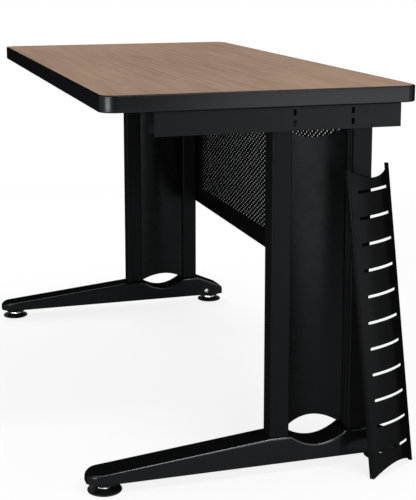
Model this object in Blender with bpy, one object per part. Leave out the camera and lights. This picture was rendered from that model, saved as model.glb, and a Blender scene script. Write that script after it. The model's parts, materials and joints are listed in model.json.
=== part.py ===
"""Teacher desk on two cantilever legs, with one cable cover taken off and leaned on its leg.

Metres, +Z up. The user sits on the -Y side, +X is the user's right.
"""

import math

import bmesh
import bpy
from mathutils import Matrix, Vector

# Fit between pieces that touch
FIT = 0.0003

# Top
TOP_WIDTH = 1.219
TOP_DEPTH = 0.6096
TOP_HEIGHT = 0.737
TOP_CORNER = 0.030
LAMINATE = 0.0009
BACKER = 0.0007
CORE = 0.0289
BAND_WALL = 0.0032
BAND_ROUND = 0.0024
BAND_STEPS = 2
SPINE_DEPTH = 0.009
SPINE_THICK = 0.0022
GROOVE_SPARE = 0.001

# Legs
LEG_CENTRE_Y = 0.1135
CHANNEL = 0.122
POST_WIDTH = 0.038
POST_DEPTH = 0.040
POST_WALL = 0.003
POST_CORNER = 0.003
POST_OUTER_SETBACK = 0.007
PANEL_GROOVE = 0.004
PANEL_GROOVE_INSET = 0.006
FLUTES = 3
FLUTE_WIDTH = 0.0024
FLUTE_DEPTH = 0.0012
FLUTE_PITCH = 0.0075
FLUTE_START = 0.0135

# Arm under the top
ARM_FRONT = 0.322
ARM_BACK = 0.1545
ARM_HEIGHT = 0.0447
ARM_SHEET = 0.0022
ARM_SLOT_WIDTH = 0.006
ARM_SLOT_HEIGHT = 0.0112
ARM_SLOT_INSET = 0.0035
ARM_SLOT_DROPS = (0.0108, 0.0310)
ARM_SCREW_FRONT = 0.045
ARM_SCREW_BACK = 0.0225

# Inner panel and cable cover
SHEET_BOW = 0.012
PANEL_SHEET = 0.002
END_ARC = 0.020
COVER_SHEET = 0.0022
COVER_GAP = 0.0006
COVER_LIP = 0.011
COVER_SLOTS = 11
COVER_SLOT_HEIGHT = 0.0052
COVER_SLOT_LENGTH = 0.092
COVER_SLOT_PITCH = 0.0496
COVER_SLOT_RISE = 0.0035
SHEET_COLUMNS = 10

# Cover leaned on the back post of the right leg
LEAN_OUT = 0.0451
LEAN_BACK = 0.0291
LEAN_TURN = math.radians(28.2)
LEAN_LIMIT = math.radians(40)
LEAN_HALVINGS = 40
LEAN_ROWS = 60
LEAN_COLUMNS = 8

# Foot
FOOT_WIDTH = 0.058
FOOT_OUTER_SETBACK = 0.0025
FOOT_UNDER = 0.0205
FOOT_TOP = 0.0725
TOE_REACH = 0.453
TOE_FLAT = 0.0015
TOE_TIP_TOP = 0.030
TOE_TOP = 0.041
TOE_STEPS = 6
DIP_DEPTH = 0.0205
DIP_INSET = 0.004
DIP_STEPS = 12
HEEL_REACH = 0.174
HEEL_SHELF = 0.004
HEEL_KNEE = 0.014
HEEL_KNEE_TOP = 0.048
HEEL_END_TOP = 0.039
HEEL_EASE = 0.006
FOOT_EDGE = 0.005
FOOT_EDGE_STEPS = 3
FOOT_CHAMFER = 0.0015
BOSS_RADIUS = 0.025
BOSS_DROP = 0.006
BOSS_ROOT = 0.004
BOSS_EASE = 0.001

# Levelling glides
GLIDE_FRONT = 0.4152
GLIDE_BACK = 0.1417
GLIDE_RADIUS = 0.0325
GLIDE_RIM = 0.004
GLIDE_EASE = 0.0015
GLIDE_HUB_RADIUS = 0.018
GLIDE_PAD_TOP = 0.0085
GLIDE_DISH = 0.0056
GLIDE_DISH_RADIUS = 0.0265
GLIDE_SHOULDER = 0.0015
STEM_RADIUS = 0.004
STEM_COLLAR_RADIUS = 0.0165
STEM_RISE = 0.0118
INSERT_WALL = 0.0022
INSERT_DEPTH = 0.0125
INSERT_ROOF = 0.0006

# Fasteners
TIE_RADIUS = 0.004
TIE_HEAD_RADIUS = 0.0075
TIE_HEAD = 0.006
SCREW_RADIUS = 0.002
SCREW_HEAD_RADIUS = 0.0045
SCREW_HEAD = 0.0028
SCREW_BITE = 0.018
STUD_RADIUS = 0.0016
STUD_HEAD_RADIUS = 0.003
STUD_HEAD = 0.002
STUD_RISE = 0.0675
STUD_DROPS = (0.146, 0.061)
STUD_INSET = 0.0175
CROSS_RADIUS = 0.003
CROSS_HEAD_RADIUS = 0.0055
CROSS_HEAD = 0.0025
CROSS_REACH = 0.1251
CROSS_HEIGHT = 0.0334
HEAD_CROWN = 0.0018

# Modesty panel
MODESTY_SHEET = 0.0012
MODESTY_BOTTOM = 0.293
MODESTY_TOP_GAP = 0.004
MODESTY_RETURN = 0.012
MODESTY_LAP = 0.0295
MODESTY_SCREW_INSET = 0.060
MODESTY_HOLE_PITCH = 0.088
MODESTY_HOLE_RADIUS = 0.023
MODESTY_HOLE_BORDER = 0.0495

# Roundness of turned and rounded shapes
TURNED_SIDES = 24
SMALL_SIDES = 12
TINY_SIDES = 8
CORNER_STEPS = 8
POST_CORNER_STEPS = 2
CREASE = math.radians(35)
QUARTER = math.pi / 2

# Levels and places that follow from the sizes above
BOARD = BACKER + CORE + LAMINATE
UNDERSIDE = TOP_HEIGHT - BOARD - FIT * 2
ARM_TOP = UNDERSIDE - FIT
ARM_BOTTOM = ARM_TOP - ARM_HEIGHT
POST_OUT = TOP_WIDTH / 2 - POST_OUTER_SETBACK
POST_IN = POST_OUT - POST_DEPTH
POST_TOP = ARM_TOP - ARM_SHEET - FIT
POST_BOTTOM = FOOT_TOP + FIT
CHANNEL_FRONT = LEG_CENTRE_Y - CHANNEL / 2
CHANNEL_BACK = LEG_CENTRE_Y + CHANNEL / 2
LEG_FRONT = CHANNEL_FRONT - POST_WIDTH
LEG_BACK = CHANNEL_BACK + POST_WIDTH
FOOT_OUT = TOP_WIDTH / 2 - FOOT_OUTER_SETBACK
FOOT_MID = FOOT_OUT - FOOT_WIDTH / 2
TOE_TIP = LEG_CENTRE_Y - TOE_REACH
TOE_NOSE = FOOT_WIDTH / 2
HEEL_END = LEG_CENTRE_Y + HEEL_REACH
BOSS_UNDER = FOOT_UNDER - BOSS_DROP
SHEET_LENGTH = ARM_BOTTOM - FOOT_TOP - FIT * 2
COVER_WIDTH = CHANNEL - COVER_GAP * 2
BORE_WIDTH = POST_WIDTH - POST_WALL * 2 - PANEL_GROOVE
TIE_X = POST_OUT - POST_DEPTH / 2
STUD_HEIGHTS = (FOOT_TOP + STUD_RISE, *(ARM_BOTTOM - drop for drop in STUD_DROPS))
MODESTY_TOP = ARM_BOTTOM - MODESTY_TOP_GAP
MODESTY_END = POST_IN + MODESTY_LAP
SIDES = {"right": 1, "left": -1}


def clear_scene():
    for item in list(bpy.data.objects):
        bpy.data.objects.remove(item, do_unlink=True)


def material(name, colour, roughness, metallic):
    made = bpy.data.materials.new(name)
    made.use_nodes = True
    shader = made.node_tree.nodes["Principled BSDF"]
    shader.inputs["Base Color"].default_value = (*colour, 1)
    shader.inputs["Roughness"].default_value = roughness
    shader.inputs["Metallic"].default_value = metallic
    made.diffuse_color = (*colour, 1)
    return made


def finish_mesh(name, bm, look, parent):
    """Turn a bmesh into a named object with outward faces, smooth where it is round."""
    bmesh.ops.recalc_face_normals(bm, faces=bm.faces[:])
    mesh = bpy.data.meshes.new(name)
    bm.to_mesh(mesh)
    bm.free()
    mesh.shade_smooth()
    mesh.set_sharp_from_angle(angle=CREASE)
    mesh.materials.append(look)
    made = bpy.data.objects.new(name, mesh)
    bpy.context.scene.collection.objects.link(made)
    made.parent = parent
    return made


def empty(name, place, parent=None):
    made = bpy.data.objects.new(name, None)
    made.location = place
    made.parent = parent
    bpy.context.scene.collection.objects.link(made)
    return made


def loft(name, sections, look, parent, ring=False):
    """Skin closed sections of equal count; a ring joins the last to the first, otherwise ends are capped."""
    bm = bmesh.new()
    rows = [[bm.verts.new(point) for point in section] for section in sections]
    pairs = list(zip(rows, rows[1:]))
    if ring:
        pairs.append((rows[-1], rows[0]))
    for low, high in pairs:
        for i in range(len(low)):
            j = (i + 1) % len(low)
            bm.faces.new((low[i], low[j], high[j], high[i]))
    if not ring:
        bm.faces.new(rows[0][::-1])
        bm.faces.new(rows[-1])
    return finish_mesh(name, bm, look, parent)


def extrude(name, loops, start, end, place, look, parent):
    """Extrude a flat outline with holes; place turns (a, b, height) into a point."""
    bm = bmesh.new()
    ends = ([], [])
    for loop in loops:
        low = [bm.verts.new(place(a, b, start)) for a, b in loop]
        high = [bm.verts.new(place(a, b, end)) for a, b in loop]
        for i in range(len(loop)):
            j = (i + 1) % len(loop)
            bm.faces.new((low[i], low[j], high[j], high[i]))
            ends[0].append(bm.edges.get((low[i], low[j])))
            ends[1].append(bm.edges.get((high[i], high[j])))
    for edges in ends:
        bmesh.ops.triangle_fill(bm, edges=edges, use_beauty=True, use_dissolve=False)
    return finish_mesh(name, bm, look, parent)


def upright(a, b, height):
    return (a, b, height)


def circle(radius, sides):
    turns = [2 * math.pi * i / sides for i in range(sides)]
    return [(radius * math.cos(t), radius * math.sin(t)) for t in turns]


def turned(name, profile, place, look, parent, sides=SMALL_SIDES):
    """Turn a profile of (radius, height) pairs; place turns (a, b, height) into a point."""
    sections = [[place(a, b, h) for a, b in circle(r, sides)] for r, h in profile]
    return loft(name, sections, look, parent)


def arc_points(centre, radius, start, end, steps):
    turns = [start + (end - start) * i / steps for i in range(steps + 1)]
    return [(centre[0] + radius * math.cos(t), centre[1] + radius * math.sin(t)) for t in turns]


def rounded_rectangle(low, high, radius, steps):
    corners = (
        ((high[0] - radius, high[1] - radius), 0),
        ((low[0] + radius, high[1] - radius), 1),
        ((low[0] + radius, low[1] + radius), 2),
        ((high[0] - radius, low[1] + radius), 3),
    )
    points = []
    for centre, turn in corners:
        points += arc_points(centre, radius, turn * QUARTER, (turn + 1) * QUARTER, steps)
    return points


def cut(target, shapes):
    """Cut closed shapes, each a list of sections, out of a piece."""
    shape_with(target, shapes, "cut", "DIFFERENCE")


def join(target, shapes):
    """Join closed shapes, each a list of sections, to a piece."""
    shape_with(target, shapes, "join", "UNION")


def shape_with(target, shapes, label, operation):
    bm = bmesh.new()
    for sections in shapes:
        rows = [[bm.verts.new(point) for point in section] for section in sections]
        for low, high in zip(rows, rows[1:]):
            for i in range(len(low)):
                j = (i + 1) % len(low)
                bm.faces.new((low[i], low[j], high[j], high[i]))
        bm.faces.new(rows[0][::-1])
        bm.faces.new(rows[-1])
    tool = finish_mesh(f"{target.name}_{label}", bm, target.data.materials[0], target.parent)
    tool.hide_render = True
    tool.display_type = "WIRE"
    boolean = target.modifiers.new(label, "BOOLEAN")
    boolean.operation = operation
    boolean.solver = "EXACT"
    boolean.object = tool


def drill(centre, direction, radius, depth, sides=SMALL_SIDES):
    """Sections of a round cutter that starts at centre and runs along direction."""
    return stepped_drill(centre, direction, ((radius, 0.0), (radius, depth)), sides)


def stepped_drill(centre, direction, profile, sides=SMALL_SIDES):
    """Sections of a round cutter whose (radius, depth) pairs may step."""
    turn = Vector((0, 0, 1)).rotation_difference(Vector(direction)).to_matrix()
    return [[Vector(centre) + turn @ Vector((a, b, h)) for a, b in circle(r, sides)] for r, h in profile]


def block(low, high):
    """Sections of a box-shaped cutter."""
    outline = ((low[0], low[1]), (high[0], low[1]), (high[0], high[1]), (low[0], high[1]))
    return [[Vector((a, b, h)) for a, b in outline] for h in (low[2], high[2])]


# Top: core board, laminate, backer and a push-in edge band


def top_outline(offset, height):
    half = Vector((TOP_WIDTH / 2 + offset, TOP_DEPTH / 2 + offset))
    flat = rounded_rectangle(-half, half, TOP_CORNER + offset, CORNER_STEPS)
    return [(x, y, height) for x, y in flat]


def build_top(desk, looks, screw_spots):
    inner = -BAND_WALL - FIT
    backer_top = UNDERSIDE + BACKER
    core_low = backer_top + FIT
    core_high = core_low + CORE
    middle = (core_low + core_high) / 2
    groove = SPINE_THICK / 2 + FIT
    deep = inner - SPINE_DEPTH - GROOVE_SPARE
    steps = (
        (inner, core_low),
        (inner, middle - groove),
        (deep, middle - groove),
        (deep, middle + groove),
        (inner, middle + groove),
        (inner, core_high),
    )
    core = loft("top_core", [top_outline(o, z) for o, z in steps], looks["board"], desk)
    laminate_low = core_high + FIT
    laminate_high = laminate_low + LAMINATE
    laminate = [top_outline(inner, z) for z in (laminate_low, laminate_high)]
    loft("top_laminate", laminate, looks["walnut"], desk)
    backer = [top_outline(inner, z) for z in (UNDERSIDE, backer_top)]
    backer = loft("backer_sheet", backer, looks["backer"], desk)
    spine_tip = -BAND_WALL - SPINE_DEPTH
    spine_low = middle - SPINE_THICK / 2
    spine_high = middle + SPINE_THICK / 2
    profile = [(-BAND_WALL, UNDERSIDE)]
    profile += arc_points((-BAND_ROUND, UNDERSIDE + BAND_ROUND), BAND_ROUND, -QUARTER, 0, BAND_STEPS)
    profile += arc_points((-BAND_ROUND, laminate_high - BAND_ROUND), BAND_ROUND, 0, QUARTER, BAND_STEPS)
    profile += [(-BAND_WALL, laminate_high), (-BAND_WALL, spine_high), (spine_tip, spine_high)]
    profile += [(spine_tip, spine_low), (-BAND_WALL, spine_low)]
    loft("edge_band", [top_outline(o, z) for o, z in profile], looks["band"], desk, ring=True)
    hole = SCREW_RADIUS + FIT
    bite = SCREW_BITE + FIT
    cut(core, [drill((x, y, ARM_TOP), (0, 0, 1), hole, bite) for x, y in screw_spots])
    through = core_low - ARM_TOP
    cut(backer, [drill((x, y, ARM_TOP), (0, 0, 1), hole, through) for x, y in screw_spots])


# Legs


def arm_screw_spots():
    """Places of the screws through the arms, by leg and end."""
    front = LEG_CENTRE_Y - ARM_FRONT + ARM_SCREW_FRONT
    back = LEG_CENTRE_Y + ARM_BACK - ARM_SCREW_BACK
    spots = {}
    for name, side in SIDES.items():
        spots[name, "front"] = (side * TIE_X, front)
        spots[name, "back"] = (side * TIE_X, back)
    return spots


def tie_spots(side):
    shift = POST_WALL + BORE_WIDTH / 2
    return {"front": (side * TIE_X, LEG_FRONT + shift), "back": (side * TIE_X, LEG_BACK - shift)}


def build_arm(name, side, desk, looks):
    out = POST_OUT + FIT + ARM_SHEET
    inside = POST_IN - FIT - ARM_SHEET
    sheet = ARM_SHEET
    profile = (
        (inside, ARM_BOTTOM),
        (inside + sheet, ARM_BOTTOM),
        (inside + sheet, ARM_TOP - sheet),
        (out - sheet, ARM_TOP - sheet),
        (out - sheet, ARM_BOTTOM),
        (out, ARM_BOTTOM),
        (out, ARM_TOP - sheet / 2),
        (out - sheet / 2, ARM_TOP),
        (inside + sheet / 2, ARM_TOP),
        (inside, ARM_TOP - sheet / 2),
    )
    start = LEG_CENTRE_Y - ARM_FRONT
    end = LEG_CENTRE_Y + ARM_BACK

    def along(a, b, height):
        return (side * a, height, b)

    arm = extrude(name + "_top_arm", [profile], start, end, along, looks["steel"], desk)
    shapes = []
    for y in (CHANNEL_FRONT + ARM_SLOT_INSET, CHANNEL_BACK - ARM_SLOT_INSET):
        for drop in ARM_SLOT_DROPS:
            middle = ARM_TOP - drop
            faces = sorted((side * (out - sheet * 2), side * (out + sheet)))
            low = (faces[0], y - ARM_SLOT_WIDTH / 2, middle - ARM_SLOT_HEIGHT / 2)
            high = (faces[1], y + ARM_SLOT_WIDTH / 2, middle + ARM_SLOT_HEIGHT / 2)
            shapes.append(block(low, high))
    below = ARM_TOP - sheet * 2
    for key, spot in arm_screw_spots().items():
        if key[0] == name:
            shapes.append(drill((*spot, below), (0, 0, 1), SCREW_RADIUS + FIT, sheet * 3))
    for spot in tie_spots(side).values():
        shapes.append(drill((*spot, below), (0, 0, 1), TIE_RADIUS + FIT, sheet * 3))
    cut(arm, shapes)


def post_outline(side, face, inward):
    """Outline of a post; face is its channel side in Y, inward points from there into the post."""
    far = inward * POST_WIDTH
    bend = POST_CORNER
    groove = PANEL_SHEET / 2 + FIT
    groove_x = POST_IN + PANEL_GROOVE_INSET
    points = [(POST_IN, face + inward * bend), (POST_IN + bend, face)]
    points += [(groove_x - groove, face), (groove_x - groove, face + inward * PANEL_GROOVE)]
    points += [(groove_x + groove, face + inward * PANEL_GROOVE), (groove_x + groove, face)]
    for i in range(FLUTES):
        x = POST_IN + FLUTE_START + FLUTE_PITCH * i
        points += [(x - FLUTE_WIDTH / 2, face), (x, face + inward * FLUTE_DEPTH), (x + FLUTE_WIDTH / 2, face)]
    turn = inward * QUARTER
    corners = (
        ((POST_OUT - bend, face + inward * bend), -turn),
        ((POST_OUT - bend, face + far - inward * bend), 0),
        ((POST_IN + bend, face + far - inward * bend), turn),
    )
    for centre, start in corners:
        points += arc_points(centre, bend, start, start + turn, POST_CORNER_STEPS)
    return [(side * x, y) for x, y in points]


def build_post(name, side, end, desk, looks):
    inward = -1 if end == "front" else 1
    face = CHANNEL_FRONT if end == "front" else CHANNEL_BACK
    bore_face = face + inward * (PANEL_GROOVE + POST_WALL)
    bore_y = sorted((bore_face, bore_face + inward * BORE_WIDTH))
    bore_x = sorted((side * (POST_IN + POST_WALL), side * (POST_OUT - POST_WALL)))
    (left, right), (low, high) = bore_x, bore_y
    bore = [(left, low), (right, low), (right, high), (left, high)]
    loops = [post_outline(side, face, inward), bore]
    label = name + "_" + end + "_post"
    post = extrude(label, loops, POST_BOTTOM, POST_TOP, upright, looks["post"], desk)
    wall = PANEL_GROOVE + POST_WALL
    shapes = []
    for height in STUD_HEIGHTS:
        start = (side * (POST_IN + STUD_INSET), face - inward * FIT, height)
        shapes.append(drill(start, (0, inward, 0), STUD_RADIUS + FIT, wall + FIT * 3, TINY_SIDES))
    if end == "back":
        for height in modesty_screw_heights():
            start = (side * TIE_X, LEG_BACK + FIT, height)
            shapes.append(drill(start, (0, -1, 0), SCREW_RADIUS + FIT, POST_WALL + FIT * 3, TINY_SIDES))
    cut(post, shapes)
    for i, height in enumerate(STUD_HEIGHTS):
        build_stud(label, i + 1, (side * (POST_IN + STUD_INSET), face, height), inward, looks, desk)


def build_stud(label, number, spot, inward, looks, desk):
    """Snap stud in the channel face of a post."""

    def place(a, b, height):
        return (spot[0] + a, spot[1] - inward * height, spot[2] + b)

    shank = PANEL_GROOVE + POST_WALL
    head = STUD_HEAD_RADIUS
    profile = (
        (STUD_RADIUS, -shank),
        (STUD_RADIUS, FIT),
        (head, FIT),
        (head, STUD_HEAD / 2),
        (head - HEAD_CROWN, STUD_HEAD),
    )
    turned(f"{label}_stud_{number}", profile, place, looks["fastener"], desk, TINY_SIDES)


def bow(a, width):
    """How far a bowed sheet stands out at a distance a from its middle line."""
    return SHEET_BOW * (1 - (2 * a / width) ** 2)


def end_arc(a, width):
    """How far the arched end of a sheet is cut back at a distance a from its middle line."""
    return END_ARC * (1 - (2 * a / width) ** 2)


def sheet_piece(name, columns, rows, thickness, place, look, parent, opening=None):
    """Build a thin sheet from a grid; opening tells which cells are left out."""
    bm = bmesh.new()
    grid = [[bm.verts.new(place(c, r)) for r in range(len(rows))] for c in range(len(columns))]
    for c in range(len(columns) - 1):
        for r in range(len(rows) - 1):
            if opening and opening(c, r):
                continue
            bm.faces.new((grid[c][r], grid[c + 1][r], grid[c + 1][r + 1], grid[c][r + 1]))
    loose = [vert for vert in bm.verts if not vert.link_faces]
    bmesh.ops.delete(bm, geom=loose, context="VERTS")
    made = finish_mesh(name, bm, look, parent)
    solid = made.modifiers.new("thickness", "SOLIDIFY")
    solid.thickness = thickness
    solid.offset = 0
    solid.use_even_offset = True
    return made


def build_inner_panel(name, side, desk, looks):
    """Bowed panel between the posts, arched at both ends, its edges in the posts' grooves."""
    width = CHANNEL + (PANEL_GROOVE - FIT) * 2
    spread = [width * (i / SHEET_COLUMNS - 0.5) for i in range(SHEET_COLUMNS + 1)]
    flat = CHANNEL / 2 - FIT
    columns = [spread[0], -flat] + [a for a in spread[1:-1] if abs(a) < flat - FIT] + [flat, spread[-1]]
    groove_x = POST_IN + PANEL_GROOVE_INSET
    rows = (0.0, 1.0)

    def place(c, r):
        a = columns[c]
        inner = max(-flat, min(flat, a))
        reach = bow(inner, flat * 2)
        back = end_arc(inner, flat * 2)
        low = FOOT_TOP + FIT + back
        high = ARM_BOTTOM - FIT - back
        return (side * (groove_x - reach), LEG_CENTRE_Y + a, low + (high - low) * rows[r])

    sheet_piece(name + "_inner_panel", columns, rows, PANEL_SHEET, place, looks["panel"], desk)


def slot_edges():
    """Heights of the lower and upper edges of the cover's slots, from its middle."""
    first = COVER_SLOT_RISE - COVER_SLOT_PITCH * (COVER_SLOTS - 1) / 2
    middles = [first + COVER_SLOT_PITCH * i for i in range(COVER_SLOTS)]
    return [m + part * COVER_SLOT_HEIGHT / 2 for m in middles for part in (-1, 1)]


def build_cover(name, holder, looks):
    """Cable cover with its lips behind, in a frame of width (X), outward (-Y) and length (Z).

    The lips are notched where they slip over the snap studs.
    """
    half = (COVER_WIDTH - COVER_SHEET) / 2
    slot = COVER_SLOT_LENGTH / 2
    inner = [slot * (2 * i / (SHEET_COLUMNS - 2) - 1) for i in range(SHEET_COLUMNS - 1)]
    columns = [-half, -half] + inner + [half, half]
    edges = slot_edges()
    last = len(columns) - 1
    rows = [0.0] + [edge + SHEET_LENGTH / 2 for edge in edges] + [SHEET_LENGTH]

    def place(c, r):
        a = columns[c]
        lip = c in (0, last)
        out = COVER_SHEET / 2 if lip else COVER_LIP + bow(a, half * 2) - COVER_SHEET / 2
        height = rows[r]
        if r == 0:
            height = end_arc(a, half * 2)
        if r == len(rows) - 1:
            height = SHEET_LENGTH - end_arc(a, half * 2)
        return (a, -out, height)

    def opening(c, r):
        return r % 2 == 1 and 2 <= c < last - 2

    cover = sheet_piece(name, columns, rows, COVER_SHEET, place, looks["cover"], holder, opening)
    out = COVER_LIP + SHEET_BOW - POST_DEPTH + STUD_INSET
    starts = [(-COVER_WIDTH, -out, height - FOOT_TOP - FIT) for height in STUD_HEIGHTS]
    notch = STUD_HEAD_RADIUS + FIT * 2
    cut(cover, [drill(start, (1, 0, 0), notch, COVER_WIDTH * 2) for start in starts])


def cover_inner(a):
    """How deep the hollow behind the cover is at a distance a from its middle line."""
    half = COVER_WIDTH / 2 - COVER_SHEET
    if abs(a) > half - FIT:
        return 0.0
    outer = COVER_LIP + bow(a, COVER_WIDTH - COVER_SHEET)
    return outer - COVER_SHEET - COVER_SHEET / 2


def lean_frame(tilt):
    """Base point and width, length and outward directions of the leaned cover."""
    base = Vector((POST_OUT + LEAN_OUT, LEG_BACK + LEAN_BACK, 0))
    level = Vector((math.cos(LEAN_TURN), math.sin(LEAN_TURN), 0))
    width = Vector((-math.sin(LEAN_TURN), math.cos(LEAN_TURN), 0))
    up = Vector((0, 0, 1)) * math.cos(tilt) - level * math.sin(tilt)
    outward = level * math.cos(tilt) + Vector((0, 0, 1)) * math.sin(tilt)
    return base, width, up, outward


def lean_touches(tilt):
    """Whether the cover, tilted this far, would press into the back post."""
    base, width, up, outward = lean_frame(tilt)
    for i in range(LEAN_ROWS + 1):
        height = POST_BOTTOM + (POST_TOP - POST_BOTTOM) * i / LEAN_ROWS
        for j in range(LEAN_COLUMNS + 1):
            y = CHANNEL_BACK + POST_WIDTH * j / LEAN_COLUMNS
            point = Vector((POST_OUT, y, height)) - base
            along = point.dot(up)
            a = point.dot(width)
            if 0 <= along <= SHEET_LENGTH and abs(a) <= COVER_WIDTH / 2:
                if point.dot(outward) > cover_inner(a) - FIT * 2:
                    return True
    return False


def lean_tilt():
    """The tilt at which the cover comes to rest on the back post."""
    low, high = 0.0, LEAN_LIMIT
    for _ in range(LEAN_HALVINGS):
        middle = (low + high) / 2
        if lean_touches(middle):
            high = middle
        else:
            low = middle
    return low


def lean_holder(desk):
    base, width, up, outward = lean_frame(lean_tilt())
    turn = Matrix((width, -outward, up)).transposed().to_4x4()
    holder = empty("right_cover_rest", (0, 0, 0), desk)
    holder.matrix_world = Matrix.Translation(base + Vector((0, 0, FIT))) @ turn
    return holder


def mounted_holder(desk):
    """Frame of the cover on the left leg, flush with the outer faces of the posts."""
    depth = COVER_LIP + SHEET_BOW
    holder = empty("left_cover_seat", (-(POST_OUT - depth), LEG_CENTRE_Y, FOOT_TOP + FIT), desk)
    holder.rotation_euler = (0, 0, -math.pi / 2)
    return holder


# Foot with its glides


def foot_top(y):
    """Height of the foot's upper line at a place along it."""
    nose_end = TOE_TIP + TOE_NOSE
    if y < nose_end:
        t = (y - TOE_TIP) / TOE_NOSE
        return TOE_TIP_TOP + (TOE_TOP - TOE_TIP_TOP) * math.sqrt(1 - (1 - t) ** 2)
    if y < LEG_FRONT:
        return TOE_TOP + (FOOT_TOP - TOE_TOP) * (y - nose_end) / (LEG_FRONT - nose_end)
    half = CHANNEL / 2 - DIP_INSET
    offset = abs(y - LEG_CENTRE_Y)
    if offset < half:
        return FOOT_TOP - DIP_DEPTH * (1 - (offset / half) ** 2)
    shelf = LEG_BACK + HEEL_SHELF
    if y <= shelf:
        return FOOT_TOP
    knee = HEEL_END - HEEL_KNEE
    if y <= knee:
        return FOOT_TOP + (HEEL_KNEE_TOP - FOOT_TOP) * (y - shelf) / (knee - shelf)
    return HEEL_KNEE_TOP + (HEEL_END_TOP - HEEL_KNEE_TOP) * (y - knee) / HEEL_KNEE


def foot_half_width(y):
    """Half width of the foot: a half round toe in plan, eased at the heel."""
    half = FOOT_WIDTH / 2
    if y < TOE_TIP + TOE_NOSE:
        return math.sqrt(half**2 - (TOE_TIP + TOE_NOSE - y) ** 2)
    return half - HEEL_EASE * max(0.0, 1 - (HEEL_END - y) / HEEL_KNEE) ** 2


def foot_section(y, side):
    half = foot_half_width(y)
    top = foot_top(y)
    edge = min(FOOT_EDGE, (top - FOOT_UNDER) / 2, half / 2)
    points = [(half - FOOT_CHAMFER, FOOT_UNDER), (half, FOOT_UNDER + FOOT_CHAMFER)]
    points += arc_points((half - edge, top - edge), edge, 0, QUARTER, FOOT_EDGE_STEPS)
    points += arc_points((edge - half, top - edge), edge, QUARTER, QUARTER * 2, FOOT_EDGE_STEPS)
    points += [(-half, FOOT_UNDER + FOOT_CHAMFER), (FOOT_CHAMFER - half, FOOT_UNDER)]
    return [(side * (FOOT_MID + a), y, z) for a, z in points]


def foot_stations():
    """Places along the foot where its section is drawn, from toe to heel."""
    start = math.acos(1 - TOE_FLAT / TOE_NOSE)
    turns = [start + (QUARTER - start) * i / TOE_STEPS for i in range(TOE_STEPS + 1)]
    nose = [TOE_TIP + TOE_NOSE * (1 - math.cos(turn)) for turn in turns]
    half = CHANNEL / 2 - DIP_INSET
    dip = [LEG_CENTRE_Y + half * (2 * i / DIP_STEPS - 1) for i in range(DIP_STEPS + 1)]
    knee = HEEL_END - HEEL_KNEE
    return nose + [LEG_FRONT] + dip + [LEG_BACK + HEEL_SHELF, knee, knee + HEEL_KNEE / 2, HEEL_END]


def glide_spots(side):
    spots = {"front": LEG_CENTRE_Y - GLIDE_FRONT, "back": LEG_CENTRE_Y + GLIDE_BACK}
    return {end: (side * FOOT_MID, y) for end, y in spots.items()}


def build_foot(name, side, desk, looks):
    sections = [foot_section(y, side) for y in foot_stations()]
    foot = loft(name + "_foot", sections, looks["foot"], desk)
    depth = BOSS_DROP + BOSS_ROOT
    boss = ((BOSS_RADIUS - BOSS_EASE, 0.0), (BOSS_RADIUS, BOSS_EASE), (BOSS_RADIUS, depth))
    spots = glide_spots(side).values()
    join(foot, [stepped_drill((x, y, BOSS_UNDER), (0, 0, 1), boss, TURNED_SIDES) for x, y in spots])
    down = FOOT_UNDER - FIT
    shapes = []
    socket = STEM_RADIUS + FIT + INSERT_WALL + FIT
    for x, y in spots:
        shapes.append(drill((x, y, BOSS_UNDER - FIT), (0, 0, 1), socket, INSERT_DEPTH + INSERT_ROOF + FIT))
    for x, y in tie_spots(side).values():
        head = TIE_HEAD_RADIUS + FIT
        rod = TIE_RADIUS + FIT
        seat = TIE_HEAD + FIT * 2
        steps = ((head, 0.0), (head, seat), (rod, seat), (rod, FOOT_TOP))
        shapes.append(stepped_drill((x, y, down), (0, 0, 1), steps, TINY_SIDES))
    cross = (side * FOOT_MID - FOOT_WIDTH, LEG_CENTRE_Y + CROSS_REACH, CROSS_HEIGHT)
    shapes.append(drill(cross, (1, 0, 0), CROSS_RADIUS + FIT, FOOT_WIDTH * 2))
    cut(foot, shapes)


def build_cross_bolt(name, side, desk, looks):
    """Bolt across the heel, with a head on each flank of the foot."""
    half = FOOT_WIDTH / 2 + FIT
    head = CROSS_HEAD_RADIUS
    tip = half + CROSS_HEAD
    profile = (
        (head - HEAD_CROWN, -tip),
        (head, -tip + CROSS_HEAD / 2),
        (head, -half),
        (CROSS_RADIUS, -half),
        (CROSS_RADIUS, half),
        (head, half),
        (head, tip - CROSS_HEAD / 2),
        (head - HEAD_CROWN, tip),
    )

    def place(a, b, height):
        return (side * FOOT_MID + height, LEG_CENTRE_Y + CROSS_REACH + a, CROSS_HEIGHT + b)

    turned(name + "_heel_bolt", profile, place, looks["fastener"], desk)


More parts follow.
